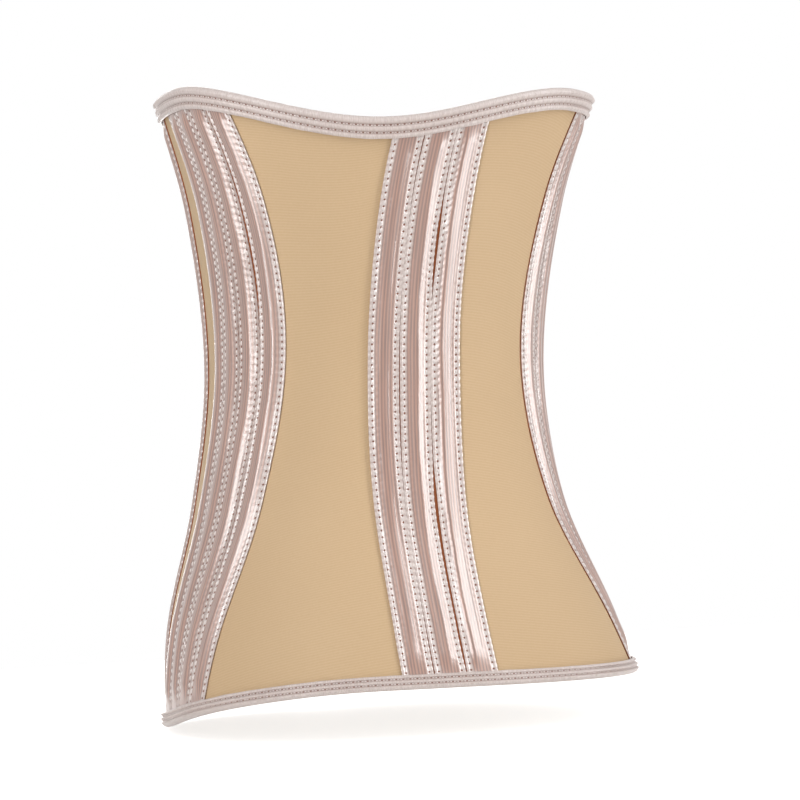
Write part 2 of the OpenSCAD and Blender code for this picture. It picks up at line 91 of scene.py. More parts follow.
# Tape groups, panel edges and closure: arcs along the section, with the angles, turns and bows of the lines
# that they start from, and how far the hook tape rises over the hooks
TAPE_W, BONE_W = 14.6, 5
CENTRE_PITCH, SIDE_PITCH, FRONT_PITCH = 16.4, 15.2, 15.6
CENTRE_EDGE, SIDE_EDGE = 1.5 * CENTRE_PITCH, 2 * SIDE_PITCH
FRONT_EDGE = 3 * FRONT_PITCH
FRONT_SEAM = FRONT_EDGE / 2
CENTRE_LEAN = 8.6
SIDE_ANGLE, SIDE_TURN, SIDE_BOW, SIDE_HEM_BOW = 63.8, 5.2, 15.4, 9.1
FRONT_ANGLE, FRONT_TURN = 105.5, 4.6
LEFT_EDGE, EYE_TAPE_SEAM, EYE_TAPE_LAP = 36, 7, 8
HOOK_EDGE, HOOK_TAPE_SEAM, HOOK_TAPE_RAMP, HOOK_TAPE_FREE = 14.5, 8, 6, 0.5
HOOK_TAPE_LIFT = 1.65
SEAM_GAP, BUTT_GAP = 0.6, 0.05
# A brown strip of painted shade stops this far inside the edge of its tapes, where it is hidden and where its
# edge is seen
TUCK, DEEP_TUCK = 0.15, 0.9

# Pieces stop this far short of the hem and of the top edge
PANEL_INSET, TAPE_INSET, SHADE_STRIP_INSET, BONE_INSET = 0.6, 1.2, 2.0, 20
# Grids: spacing of points on panels, strips of painted shade and bindings, rows of points along other
# pieces, columns across them, and angles above which an edge of a mesh stays sharp
BODY_LENGTH, PANEL_STEP, SHADE_STRIP_STEP, BINDING_STEP = 320, 2.5, 2.0, 0.8
TAPE_ROWS, BONE_ROWS, CLOSURE_ROWS, EDGE_ROWS = 450, 90, 200, 900
BONE_COLUMNS, HOOK_COLUMNS, EYE_COLUMNS = 5, 24, 36
CREASE, SATIN_CREASE = 50, 60

# Sewing: length of a stitch, thickness of its thread, distance of a row from the edge of a tape, rows on a
# binding as shares of its height, rows on the closure tapes as arcs, and lengths left plain at the ends
STITCH = 3.6
THREAD = 0.75
ROW_INSET = 1.75
BINDING_ROWS = (0.28, 0.64)
HOOK_ROWS, EYE_ROWS = (20.5, 16.5, 7.0, 2.2), (6.5, -9.5, -21.5, -33.5)
TAPE_PLAIN, CLOSURE_PLAIN = 8, 12
# One stitch: places along it as shares, and its half thickness and its lift there as shares of the thread
STITCH_PLACES = np.array([0.16, 0.27, 0.5, 0.73, 0.84])
STITCH_GIRTHS = np.array([0.35, 0.85, 1.0, 0.85, 0.35])
STITCH_LIFTS = np.array([-0.2, 0.25, 0.45, 0.25, -0.2])
STITCH_SIDES = 6


def measures(z):
    """Half width, back depth and front depth at heights z: a cubic through the stations, whose slope
    at each station is that of the line between its two neighbours."""
    heights, values = STATIONS[:, 0], STATIONS[:, 1:]
    count = len(heights)
    before = np.maximum(np.arange(count) - 1, 0)
    after = np.minimum(np.arange(count) + 1, count - 1)
    slopes = (values[after] - values[before]) / (heights[after] - heights[before])[:, None]
    i = np.clip(np.searchsorted(heights[1:], z), 0, count - 2)
    span = (heights[i + 1] - heights[i])[..., None]
    u = (z - heights[i])[..., None] / span
    w = u * u * (3 - 2 * u)
    bend = slopes[i] * u * (1 - u) ** 2 - slopes[i + 1] * u * u * (1 - u)
    return values[i] * (1 - w) + values[i + 1] * w + span * bend


def on_body(phi, z, t):
    """Points at angles phi from the centre back and heights z, a distance t out from the shell's inner
    face: a superellipse with its half axes lengthened by t."""
    phi, z, t = np.broadcast_arrays(np.asarray(phi, float), np.asarray(z, float), np.asarray(t, float))
    half, back, front = np.moveaxis(measures(z), -1, 0)
    s, c = np.sin(np.radians(phi)), np.cos(np.radians(phi))
    r = (np.abs(s) ** SECTION_POWER + np.abs(c) ** SECTION_POWER) ** (-1 / SECTION_POWER)
    x = (half + t) * r * s
    y = (front - back) / 2 - ((back + front) / 2 + t) * r * c
    return np.stack([x, y, z], axis=-1)


def pace(phi, z):
    """Arc length along the section for each degree."""
    step = on_body(phi + PROBE, z, 0) - on_body(phi - PROBE, z, 0)
    return np.linalg.norm(step, axis=-1) / (2 * PROBE)


def walk(phi, z, arc):
    """Angle reached from phi after an arc along the section, in a few midpoint steps."""
    for _ in range(ROUNDS):
        middle = phi + arc / ROUNDS / 2 / pace(phi, z)
        phi = phi + arc / ROUNDS / pace(middle, z)
    return phi


# A line up the body is its angle at the waist, its turn from there up to the top section, its bows above
# and below the waist, and an arc along the section
def centre_line(arc, side=RIGHT):
    return 0, 0, side * CENTRE_LEAN, 0, arc


def side_line(arc):
    return SIDE_ANGLE, SIDE_TURN, SIDE_BOW, SIDE_HEM_BOW, arc


def front_line(arc):
    return FRONT_ANGLE, FRONT_TURN, 0, 0, arc


def closure_line(arc):
    return 180, 0, 0, 0, -arc


def line_phi(line, z):
    """Angles of a line at heights z: the turn grows evenly and the bow as the square of the height."""
    angle, turn, above, below, arc = line
    w = z / FORM_RISE
    return walk(angle - turn * w + np.where(z > 0, above, below) * w * w, z, arc)


def beside(line, arc):
    """The same line, moved along by an arc."""
    return *line[:4], line[4] + arc


def edge_height(phi, side, middle, middle_angle, heights, angles, front):
    """Height of an edge of the brace: from its middle, left of the centre back, to a height and an angle of
    its own on each side, and on from there to the closure. Each part is a sine squared."""
    q = side * ((phi + 180) % 360 - 180)
    off = q + middle_angle
    height, at = (np.where(off < 0, *pair) for pair in (heights, angles))
    share = np.abs(off) / (at + np.sign(off) * middle_angle)
    first = np.sin(np.pi / 2 * np.minimum(share, 1)) ** 2
    rest = np.sin(np.pi / 2 * np.maximum(np.abs(q) - at, 0) / (180 - at)) ** 2
    return middle + (height - middle) * first - (height - front) * rest


def top_edge(phi, side):
    """The top edge dips in the middle and peaks on each side."""
    return edge_height(phi, side, TOP_DIP, TOP_DIP_ANGLE, (TOP_LEFT, TOP_RIGHT),
                       (TOP_LEFT_ANGLE, TOP_RIGHT_ANGLE), TOP_FRONT)


def hem_edge(phi, side):
    """The hem is highest in the middle and falls on each side."""
    return edge_height(phi, side, -HEM_CREST, HEM_CREST_ANGLE, (-HEM_LEFT, -HEM_RIGHT),
                       (HEM_LEFT_ANGLE, HEM_RIGHT_ANGLE), -HEM_FRONT)


def smooth(low, high, x):
    """0 below low, 1 above high, and a smooth step between them."""
    u = np.clip((x - low) / (high - low), 0, 1)
    return u * u * (3 - 2 * u)


def ridge(x, middle, width):
    """A bell-shaped bump of height 1."""
    return np.exp(-((x - middle) / width) ** 2)


def stitch_wave(run):
    """0 at each needle hole along a run, 1 half-way between two, and a cosine between them."""
    return 0.5 - 0.5 * np.cos(2 * np.pi * run / STITCH)


def patch(from_line, to_line, share, along, side, inset, sway=None):
    """Angles and heights of a grid of cloth. Each column is a share of the way between two lines, and its
    rows run from the hem to the top edge, short of both by the inset. sway gives what is added to the
    shares at heights z."""
    share = np.asarray(share, float)[:, None]

    def angle(z):
        start = line_phi(from_line, z)
        return start + (line_phi(to_line, z) - start) * (share + sway(z) if sway else share)

    top = np.full_like(share, TOP_LEFT)
    hem = np.full_like(share, -HEM_CREST)
    for _ in range(ROUNDS):
        top, hem = top_edge(angle(top), side), hem_edge(angle(hem), side)
    z = hem + inset + (top - inset - hem - inset) * np.asarray(along, float)
    return angle(z), z


def lengths(points):
    """Running length along the last-but-one axis of a row of points."""
    steps = np.linalg.norm(np.diff(points, axis=-2), axis=-1)
    return np.concatenate([np.zeros(steps.shape[:-1] + (1,)), np.cumsum(steps, axis=-1)], axis=-1)


def grid_faces(across, along, closed):
    """Quads of a grid numbered along first, which face outwards when across runs to the right and along
    runs up. A closed grid joins its last column to its first."""
    i, j = np.meshgrid(np.arange(across if closed else across - 1), np.arange(along - 1), indexing="ij")
    here, right = i * along + j, (i + 1) % across * along + j
    return np.stack([here, right, right + 1, here + 1], axis=-1).reshape(-1, 4)


def shell(outer, inner, uv_outer, uv_inner):
    """One closed part: the outer columns from left to right, the inner ones back from right to left, and
    a cap over each end of that loop."""
    loop = np.concatenate([outer, inner[::-1]])
    uv = np.concatenate([uv_outer, uv_inner[::-1]])
    around, along = loop.shape[:2]
    if len(outer) == len(inner):
        k = np.arange(len(outer) - 1)
        ring = np.stack([k, k + 1, around - 2 - k, around - 1 - k], axis=-1) * along
    else:
        ring = np.arange(around)[None] * along
    faces = [grid_faces(around, along, True), ring[:, ::-1], ring + along - 1]
    return loop.reshape(-1, 3), faces, uv.reshape(-1, 2)


def cloth_uv(across, run):
    """UVs in millimetres: the place across a piece, and the length along it."""
    return np.stack(np.broadcast_arrays(np.asarray(across, float)[:, None], run[None]), axis=-1)


def middle_run(points):
    """Length along the middle column of a grid."""
    return lengths(points[len(points) // 2])


def sew(rail, next_rail, run, skip=0.0):
    """One row of stitches along a rail of points, with a hole at each whole number of stitches along run.
    next_rail lies to its right, which gives the way out of the cloth. Each stitch is a six-sided bead, thin
    at both ends, that rises between its holes."""
    holes = STITCH * np.arange(math.ceil(skip / STITCH), int((run[-1] - skip) // STITCH) + 1)
    start, count = holes[:-1], len(holes) - 1

    def sample(values, where):
        return np.stack([np.interp(where, run, values[:, k]) for k in range(3)], axis=-1)

    ahead = sample(rail, start + STITCH) - sample(rail, start)
    ahead /= np.linalg.norm(ahead, axis=-1, keepdims=True)
    right = sample(next_rail, start + STITCH / 2) - sample(rail, start + STITCH / 2)
    out = np.cross(right, ahead)
    out /= np.linalg.norm(out, axis=-1, keepdims=True)
    right = np.cross(ahead, out)
    middle = sample(rail, start[:, None] + STITCH * STITCH_PLACES)
    middle = middle + (THREAD * STITCH_LIFTS)[:, None] * out[:, None]
    turn = 2 * np.pi * np.arange(STITCH_SIDES) / STITCH_SIDES
    spoke = np.cos(turn)[:, None] * right[:, None] + np.sin(turn)[:, None] * out[:, None]
    points = middle[:, None] + (THREAD / 2 * STITCH_GIRTHS)[:, None] * spoke[:, :, None]
    rings = len(STITCH_PLACES)
    first = STITCH_SIDES * rings * np.arange(count)
    cap = np.arange(STITCH_SIDES) * rings
    faces = [
        (first[:, None, None] + grid_faces(STITCH_SIDES, rings, True)).reshape(-1, 4),
        first[:, None] + cap[::-1],
        first[:, None] + cap + rings - 1,
    ]
    flat = points.reshape(-1, 3)
    return flat, faces, np.zeros((len(flat), 2))


def flare(points):
    """Points with the right half of the body widened, by a share that grows as the square of the depth
    below the flank line."""
    x, _, z = points.T
    share = HEM_FLARE * (np.maximum(-z - FLANK_DROP, 0) / (FORM_DROP - FLANK_DROP)) ** 2
    return points + np.stack([np.maximum(x, 0) * share, 0 * x, 0 * x], axis=-1)


def make_piece(name, parts, material, side=RIGHT, sharp=CREASE):
    """A mesh object from one or more parts, at the origin with its place in its points. A piece of the
    left side is the right-hand one mirrored, with its faces turned round."""
    points = flare(np.concatenate([p for p, _, _ in parts]) * np.array([side, 1, 1])) * MM
    uv = np.concatenate([u for _, _, u in parts])
    faces, first = [], 0
    for p, groups, _ in parts:
        for group in groups:
            faces += (group[:, ::side] + first).tolist()
        first += len(p)
    mesh = bpy.data.meshes.new(name)
    mesh.from_pydata(points.tolist(), [], faces)
    corner = np.empty(len(mesh.loops), np.int32)
    mesh.loops.foreach_get("vertex_index", corner)
    mesh.uv_layers.new(name="cloth").data.foreach_set("uv", uv[corner].ravel().astype(np.float32))
    mesh.polygons.foreach_set("use_smooth", np.ones(len(mesh.polygons), bool))
    mesh.set_sharp_from_angle(angle=math.radians(sharp))
    mesh.materials.append(material)
    made = bpy.data.objects.new(name, mesh)
    bpy.context.scene.collection.objects.link(made)
    return made


def linear(code):
    """A hex sRGB colour as linear RGBA."""
    c = np.array([int(code[k:k + 2], 16) for k in (1, 3, 5)]) / 255
    c = np.where(c <= 0.04045, c / 12.92, ((c + 0.055) / 1.055) ** 2.4)
    return *c.tolist(), 1.0


def connect(tree, node, inputs):
    """Fills inputs of a node, by name or number, with values or with links from sockets."""
    for key, value in inputs.items():
        if isinstance(value, bpy.types.NodeSocket):
            tree.links.new(value, node.inputs[key])
        else:
            node.inputs[key].default_value = value


def add(tree, kind, inputs=(), **settings):
    """Adds a node with its settings and its inputs, in order or by name or number, and gives its outputs."""
    node = tree.nodes.new("ShaderNode" + kind)
    for key, value in settings.items():
        setattr(node, key, value)
    connect(tree, node, inputs if isinstance(inputs, dict) else dict(enumerate(inputs)))
    return node.outputs


# Sockets of a Mix node that mixes colours
MIX_A, MIX_B, MIXED = 6, 7, 2


def start_material(name):
    """A new material, its node tree and its shader."""
    material = bpy.data.materials.new(name)
    material.use_nodes = True
    return material, material.node_tree, material.node_tree.nodes["Principled BSDF"]


def cloth_axes(tree):
    """The UVs of a cloth piece, and their two sockets: millimetres across it and along it."""
    cloth = add(tree, "UVMap", uv_map="cloth")[0]
    across, along, _ = add(tree, "SeparateXYZ", (cloth,))
    return cloth, across, along


# Knit: its courses are drawn 1.5 mm apart, because the real ones, about 0.5 mm apart, are too fine for the
# picture. Its noise has a spot about every 17 mm to bend the courses, 1.1 mm for fuzz and 70 mm for blotches,
# given in spots for each metre
COURSE_MM, COURSE_SLANT, COURSE_WANDER = 1.5, 0.3, 2.0
WANDER_SPOTS, FUZZ_SPOTS, BLOTCH_SPOTS = 60.0, 900.0, 14.0


def knit_shell():
    """Warp-knitted nylon and elastane: matt, with a faint sheen and fine crosswise courses. Its tone is a sum
    of the courses, which are a sine of the place along the cloth, the fuzz and the blotches."""
    material, tree, shader = start_material("knit_nylon_shell")
    _, across, along = cloth_axes(tree)
    place = add(tree, "TexCoord")["Object"]
    wander = add(tree, "TexNoise", {"Vector": place, "Scale": WANDER_SPOTS, "Detail": 2.0})[0]
    shift = add(tree, "Math", (wander, COURSE_WANDER), operation="MULTIPLY")[0]
    slant = add(tree, "Math", (across, COURSE_SLANT, along), operation="MULTIPLY_ADD")[0]
    phase = add(tree, "Math", (slant, 2 * math.pi / COURSE_MM, shift), operation="MULTIPLY_ADD")[0]
    wave = add(tree, "Math", (phase,), operation="SINE")[0]
    course = add(tree, "Math", (wave, 0.5, 0.5), operation="MULTIPLY_ADD")[0]
    fuzz = add(tree, "TexNoise", {"Vector": place, "Scale": FUZZ_SPOTS, "Detail": 3.0, "Roughness": 0.6})[0]
    blotch = add(tree, "TexNoise", {"Vector": place, "Scale": BLOTCH_SPOTS, "Detail": 2.0})[0]
    tone = add(tree, "Math", (fuzz, 0.45), operation="MULTIPLY")[0]
    tone = add(tree, "Math", (course, 0.30, tone), operation="MULTIPLY_ADD")[0]
    tone = add(tree, "Math", (blotch, 0.25, tone), operation="MULTIPLY_ADD")[0]
    colour = add(tree, "Mix", {0: tone, MIX_A: linear("#CDAC84"), MIX_B: linear("#DEC29D")},
                 data_type="RGBA")[MIXED]
    height = add(tree, "Math", (fuzz, 0.5, course), operation="MULTIPLY_ADD")[0]
    bump = add(tree, "Bump", {"Strength": 0.25, "Distance": 0.1 * MM, "Height": height})[0]
    connect(tree, shader, {
        "Base Color": colour, "Normal": bump, "Roughness": 0.72, "Specular IOR Level": 0.3,
        "Sheen Weight": 0.08, "Sheen Roughness": 0.5,
    })
    return material


# Satin: the ribs of a tape are drawn 1.6 mm apart, coarser than its threads, which are too fine for the
# picture. Streaks are about 0.8 mm wide and 29 mm long, fluff about 2 mm by 0.9 mm, and the cords of the
# binding 0.6 mm apart, as spots of noise for each unit of the UVs. A tape's margin starts between two
# distances from its middle. A needle hole is painted dark, as shade in the hole, within the first of two
# squared distances and not past the second, with its length along the row divided by the stretch. The painted
# shade in the groove along a row of the binding is at its full strength within the first distance and none
# past the second
RIB_MM, RIB_WANDER = 1.6, 5.0
STREAK_SPOTS, FLUFF_SPOTS, CORD_SPOTS = (1.3, 0.035, 0), (0.5, 1.1, 0), (4.0, 1.6, 0)
MARGIN_FROM, MARGIN_TO = 4.2, 5.0
HOLE_DARK, HOLE_GONE, HOLE_STRETCH = 0.07, 0.3, 0.8
# Painted shade in the grooves of the binding's rows: its distances and its strength
GROOVE_SHADE_NEAR, GROOVE_SHADE_FAR, GROOVE_SHADE_MOST = 0.2, 1.25, 0.75


def needle_hole_shade(tree, from_row, along):
    """Share of painted shade in the needle holes of a row of stitches, which are small dots one stitch apart:
    1 in a hole, falling with the square of the distance from the nearest hole."""
    turns = add(tree, "Math", (along, 1 / STITCH, 0.5), operation="MULTIPLY_ADD")[0]
    turns = add(tree, "Math", (turns,), operation="FRACT")[0]
    from_hole = add(tree, "Math", (turns, 0.5), operation="SUBTRACT")[0]
    from_hole = add(tree, "Math", (from_hole, STITCH * HOLE_STRETCH), operation="MULTIPLY")[0]
    row_square = add(tree, "Math", (from_row, from_row), operation="MULTIPLY")[0]
    hole_square = add(tree, "Math", (from_hole, from_hole), operation="MULTIPLY")[0]
    spread = add(tree, "Math", (row_square, hole_square), operation="ADD")[0]
    return add(tree, "MapRange", (spread, HOLE_DARK, HOLE_GONE, 1.0, 0.0))[0]


def satin_tape(name, shaded_margin, lit_margin):
    """Woven polyester satin: dusky pink in shade, with a white streak where a dome faces a lamp. Its ribs are
    a sine of the place across it, shifted by the streaks. The puckered margins are paler, as painted light
    that the puckers catch, running with fluff noise from the shaded to the lit colour and darker at each
    needle hole as painted shade, and the needle holes of both rows are painted dark brown as shade."""
    material, tree, shader = start_material(name)
    cloth, across, along = cloth_axes(tree)
    off_middle = add(tree, "Math", (across,), operation="ABSOLUTE")[0]
    lengthwise = add(tree, "VectorMath", (cloth, STREAK_SPOTS), operation="MULTIPLY")[0]
    streak = add(tree, "TexNoise", {"Vector": lengthwise, "Scale": 1.0, "Detail": 3.0})[0]
    crosswise = add(tree, "VectorMath", (cloth, FLUFF_SPOTS), operation="MULTIPLY")[0]
    fluff = add(tree, "TexNoise", {"Vector": crosswise, "Scale": 1.0, "Detail": 2.0})[0]
    shift = add(tree, "Math", (streak, RIB_WANDER), operation="MULTIPLY")[0]
    phase = add(tree, "Math", (across, 2 * math.pi / RIB_MM, shift), operation="MULTIPLY_ADD")[0]
    wave = add(tree, "Math", (phase,), operation="SINE")[0]
    rib = add(tree, "Math", (wave, 0.5, 0.5), operation="MULTIPLY_ADD")[0]
    tone = add(tree, "Math", (streak, 0.5), operation="MULTIPLY")[0]
    tone = add(tree, "Math", (rib, 0.6, tone), operation="MULTIPLY_ADD")[0]
    weave = add(tree, "Mix", {0: tone, MIX_A: linear("#4E2C1F"), MIX_B: linear("#B48069")},
                data_type="RGBA", clamp_factor=True)[MIXED]
    edge = add(tree, "MapRange", (off_middle, MARGIN_FROM, MARGIN_TO, 0.0, 1.0))[0]
    turn = add(tree, "Math", (along, 2 * math.pi / STITCH), operation="MULTIPLY")[0]
    pucker = add(tree, "Math", (turn,), operation="COSINE")[0]
    # Painted light and shade of the puckers: fluff noise, paler between the stitches and darker at the needle
    # holes
    fluff_and_pucker_light = add(tree, "Math", (fluff, 1.1), operation="MULTIPLY")[0]
    fluff_and_pucker_light = add(tree, "Math", (pucker, -0.22, fluff_and_pucker_light), operation="MULTIPLY_ADD")[0]
    margin = add(tree, "Mix", {0: fluff_and_pucker_light, MIX_A: linear(shaded_margin), MIX_B: linear(lit_margin)},
                 data_type="RGBA", clamp_factor=True)[MIXED]
    colour = add(tree, "Mix", {0: edge, MIX_A: weave, MIX_B: margin}, data_type="RGBA")[MIXED]
    from_row = add(tree, "Math", (off_middle, TAPE_W / 2 - ROW_INSET), operation="SUBTRACT")[0]
    # Needle holes painted dark brown, as shade in the holes
    hole_shade = needle_hole_shade(tree, from_row, along)
    colour = add(tree, "Mix", {0: hole_shade, MIX_A: colour, MIX_B: linear("#7C4E3C")}, data_type="RGBA")[MIXED]
    gloss = add(tree, "MapRange", (hole_shade, 0.0, 1.0, 0.9, 0.05))[0]
    relief = add(tree, "Math", (fluff, 1.6, rib), operation="MULTIPLY_ADD")[0]
    bump = add(tree, "Bump", {"Strength": 0.25, "Distance": 0.1 * MM, "Height": relief})[0]
    connect(tree, shader, {
        "Base Color": colour, "Specular IOR Level": gloss, "Coat Weight": gloss, "Normal": bump,
        "Roughness": 0.3, "IOR": 1.7, "Coat Roughness": 0.38, "Coat IOR": 1.8,
        "Sheen Weight": 0.1, "Sheen Roughness": 0.3,
    })
    return material


def satin_binding():
    """Fold-over satin elastic: softly shining, with fine crosswise cords of stretched noise, painted shade in
    the groove along each of its two rows of stitches, and needle holes painted dark as shade. Its UVs across
    are shares of its height."""
    material, tree, shader = start_material("satin_fold_over_elastic")
    cloth, across, along = cloth_axes(tree)
    crosswise = add(tree, "VectorMath", (cloth, CORD_SPOTS), operation="MULTIPLY")[0]
    cords = add(tree, "TexNoise", {"Vector": crosswise, "Scale": 1.0, "Detail": 3.0})[0]
    colour = add(tree, "Mix", {0: cords, MIX_A: linear("#B59F97"), MIX_B: linear("#F0E6E2")},
                 data_type="RGBA")[MIXED]
    for row in BINDING_ROWS:
        from_row = add(tree, "Math", (across, row), operation="SUBTRACT")[0]
        from_row = add(tree, "Math", (from_row, TOP_BIND_H), operation="MULTIPLY")[0]
        off_row = add(tree, "Math", (from_row,), operation="ABSOLUTE")[0]
        # Painted shade in the groove along this row
        groove_shade = add(tree, "MapRange", (off_row, GROOVE_SHADE_NEAR, GROOVE_SHADE_FAR, GROOVE_SHADE_MOST, 0.0))[0]
        # Needle holes painted dark brown, as shade in the holes
        hole_shade = needle_hole_shade(tree, from_row, along)
        for share, shade in ((groove_shade, "#87685C"), (hole_shade, "#7A4E3C")):
            colour = add(tree, "Mix", {0: share, MIX_A: colour, MIX_B: linear(shade)},
                         data_type="RGBA")[MIXED]
    bump = add(tree, "Bump", {"Strength": 0.7, "Distance": 0.2 * MM, "Height": cords})[0]
    connect(tree, shader, {
        "Base Color": colour, "Normal": bump, "Roughness": 0.42, "IOR": 1.6, "Specular IOR Level": 0.8,
        "Sheen Weight": 0.15,
    })
    return material


# Thread and steel: spots of noise for each metre, one every 0.7 mm of twist and 1.25 mm of drawn wire
TWIST_SPOTS, DRAWN_SPOTS, DRAWN_CHANGE = 1500.0, 800.0, 0.08
# Plain cloths: threads of the cotton in millimetres, drawn wider than the real 0.3 mm to show, half a zigzag
# of the herringbone, and twill lines as radians for each millimetre, 0.9 mm and 1.3 mm apart
COTTON_MM, ZIGZAG_MM = 1.0, 3.0
UNDERLAY_TWILL, HERRINGBONE_TWILL = 7.0, 5.0


def sewing_thread():
    """Spun polyester thread in the satin's pale pink: softly dull, with its twist as fine noise."""
    material, tree, shader = start_material("polyester_sewing_thread")
    place = add(tree, "TexCoord")["Object"]
    twist = add(tree, "TexNoise", {"Vector": place, "Scale": TWIST_SPOTS, "Detail": 2.0})[0]
    colour = add(tree, "Mix", {0: twist, MIX_A: linear("#E6DCD8"), MIX_B: linear("#F8F3F1")},
                 data_type="RGBA")[MIXED]
    connect(tree, shader, {"Base Color": colour, "Roughness": 0.5, "Sheen Weight": 0.1})
    return material


def brown_shade_sheet():
    """Brown sheet under the tapes, as painted shade: seen only at their edges and in the gaps between them,
    where shade falls. Drawn as matt cotton twill, whose lines are a sine of the sum of the places across and
    along."""
    material, tree, shader = start_material("brown_twill_painted_shade")
    _, across, along = cloth_axes(tree)
    slant = add(tree, "Math", (across, along), operation="ADD")[0]
    slant = add(tree, "Math", (slant, UNDERLAY_TWILL), operation="MULTIPLY")[0]
    twill = add(tree, "Math", (slant,), operation="SINE")[0]
    tone = add(tree, "Math", (twill, 0.4, 0.5), operation="MULTIPLY_ADD")[0]
    colour = add(tree, "Mix", {0: tone, MIX_A: linear("#7A3D17"), MIX_B: linear("#96542A")},
                 data_type="RGBA")[MIXED]
    connect(tree, shader, {"Base Color": colour, "Roughness": 0.85})
    return material


def cotton_lining():
    """Plain-woven cotton: matt, with a fine chequer of threads, a sine across times a sine along."""
    material, tree, shader = start_material("cotton_lining")
    _, across, along = cloth_axes(tree)
    warp = add(tree, "Math", (across, 2 * math.pi / COTTON_MM), operation="MULTIPLY")[0]
    warp = add(tree, "Math", (warp,), operation="SINE")[0]
    weft = add(tree, "Math", (along, 2 * math.pi / COTTON_MM), operation="MULTIPLY")[0]
    weft = add(tree, "Math", (weft,), operation="SINE")[0]
    over = add(tree, "Math", (warp, weft), operation="MULTIPLY")[0]
    over = add(tree, "Math", (over, 0.5, 0.5), operation="MULTIPLY_ADD")[0]
    colour = add(tree, "Mix", {0: over, MIX_A: linear("#D9C6AB"), MIX_B: linear("#E8DAC4")},
                 data_type="RGBA")[MIXED]
    bump = add(tree, "Bump", {"Strength": 0.4, "Distance": 0.1 * MM, "Height": over})[0]
    connect(tree, shader, {"Base Color": colour, "Normal": bump, "Roughness": 0.85})
    return material


def herringbone_tape():
    """Cotton herringbone tape under the hooks and eyes: matt, in the satin's pale pink. Its twill lines turn
    back at each zigzag across it."""
    material, tree, shader = start_material("cotton_herringbone_tape")
    _, across, along = cloth_axes(tree)
    zigzag = add(tree, "Math", (across, ZIGZAG_MM), operation="PINGPONG")[0]
    slant = add(tree, "Math", (zigzag, along), operation="ADD")[0]
    slant = add(tree, "Math", (slant, HERRINGBONE_TWILL), operation="MULTIPLY")[0]
    twill = add(tree, "Math", (slant,), operation="SINE")[0]
    tone = add(tree, "Math", (twill, 0.5, 0.5), operation="MULTIPLY_ADD")[0]
    colour = add(tree, "Mix", {0: tone, MIX_A: linear("#C4AEA5"), MIX_B: linear("#D8C8C1")},
                 data_type="RGBA")[MIXED]
    bump = add(tree, "Bump", {"Strength": 0.4, "Distance": 0.1 * MM, "Height": twill})[0]
    connect(tree, shader, {"Base Color": colour, "Normal": bump, "Roughness": 0.75})
    return material


def plated_steel(name, colour, roughness):
    """Drawn and plated steel: bright, with fine drawing marks in its roughness."""
    material, tree, shader = start_material(name)
    place = add(tree, "TexCoord")["Object"]
    marks = add(tree, "TexNoise", {"Vector": place, "Scale": DRAWN_SPOTS, "Detail": 2.0})[0]
    gloss = add(tree, "MapRange", (marks, 0.0, 1.0, roughness - DRAWN_CHANGE, roughness + DRAWN_CHANGE))[0]
    connect(tree, shader, {"Roughness": gloss, "Base Color": linear(colour), "Metallic": 1.0})
    return material


KNIT = knit_shell()
# The two colours of a satin are its margin in painted shade and in painted light, as the puckers catch it
SATIN = satin_tape("polyester_satin_tape", "#A5887C", "#DDD0CB")
# A copy of the same satin with darker margins, as painted shade on tapes turned away from the lamps
SHADED_SIDE_SATIN = satin_tape("polyester_satin_painted_shade_tape", "#83655A", "#BCA399")
BINDING = satin_binding()
THREADS = sewing_thread()
# Brown sheet of painted shade under the tapes
BROWN_SHADE = brown_shade_sheet()
COTTON = cotton_lining()
HERRINGBONE = herringbone_tape()
SPRING_STEEL = plated_steel("spring_steel_bones", "#B4B6B8", 0.35)
HOOK_STEEL = plated_steel("nickel_plated_wire", "#C9C7C2", 0.22)


def settle(piece, side_name, nodes=()):
    """Sets a piece in place: cloth of one side has its place baked into its points, and cloth of the middle
    rides on the back. Any parts of the model that it replaces are hidden."""
    if side_name:
        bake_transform(piece)
    else:
        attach(piece, "back")
    if nodes:
        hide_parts(*nodes)


def flat_cloth(name, spans, t_in, t_out, material, side_name, slot, nodes, rests_on,
               step=PANEL_STEP, inset=PANEL_INSET):
    """A panel, lining or strip: columns between lines in turn, two faces and a rim."""
    side = SIDES.get(side_name, RIGHT)
    rows = np.linspace(0, 1, int(BODY_LENGTH / step))
    waist = np.zeros(1)
    angles, heights = [], []
    for k, span in enumerate(spans):
        ends = [on_body(line_phi(line, waist), waist, 0) for line in span]
        share = np.linspace(0, 1, max(2, int(np.linalg.norm(ends[0] - ends[1]) / step) + 1))
        phi, z = patch(*span, share if k == 0 else share[1:], rows, side, inset)
        angles.append(phi)
        heights.append(z)
    phi, z = np.concatenate(angles), np.concatenate(heights)
    outer, inner = on_body(phi, z, t_out), on_body(phi, z, t_in)
    across = lengths(np.swapaxes(outer, 0, 1))[len(rows) // 2]
    uv = cloth_uv(across, middle_run(outer))
    piece = make_piece(name, [shell(outer, inner, uv, uv)], material, side)
    settle(piece, side_name, nodes)


# Sewn tape: columns in a margin, measured from its edge, and over the bone
MARGIN_COLUMNS = np.array([0, 0.25, 0.6, 0.95, 1.25, 1.5, ROW_INSET, 2.0, 2.3, 2.7])
DOME_INSET, DOME_COLUMNS = 3.1, 15
# Its dome: distance of its feet from the middle, and rounding of its shoulders and of its feet
DOME_FOOT, SHOULDER_ROUND, FOOT_ROUND = 4.7, 0.3, 0.03
# The dome, and the channel under it, grow from flat to full between two distances from the hem and the top
HEM_FADE, TOP_FADE, CHANNEL_FADE = (6, 19), (7, 20), (7, 21)
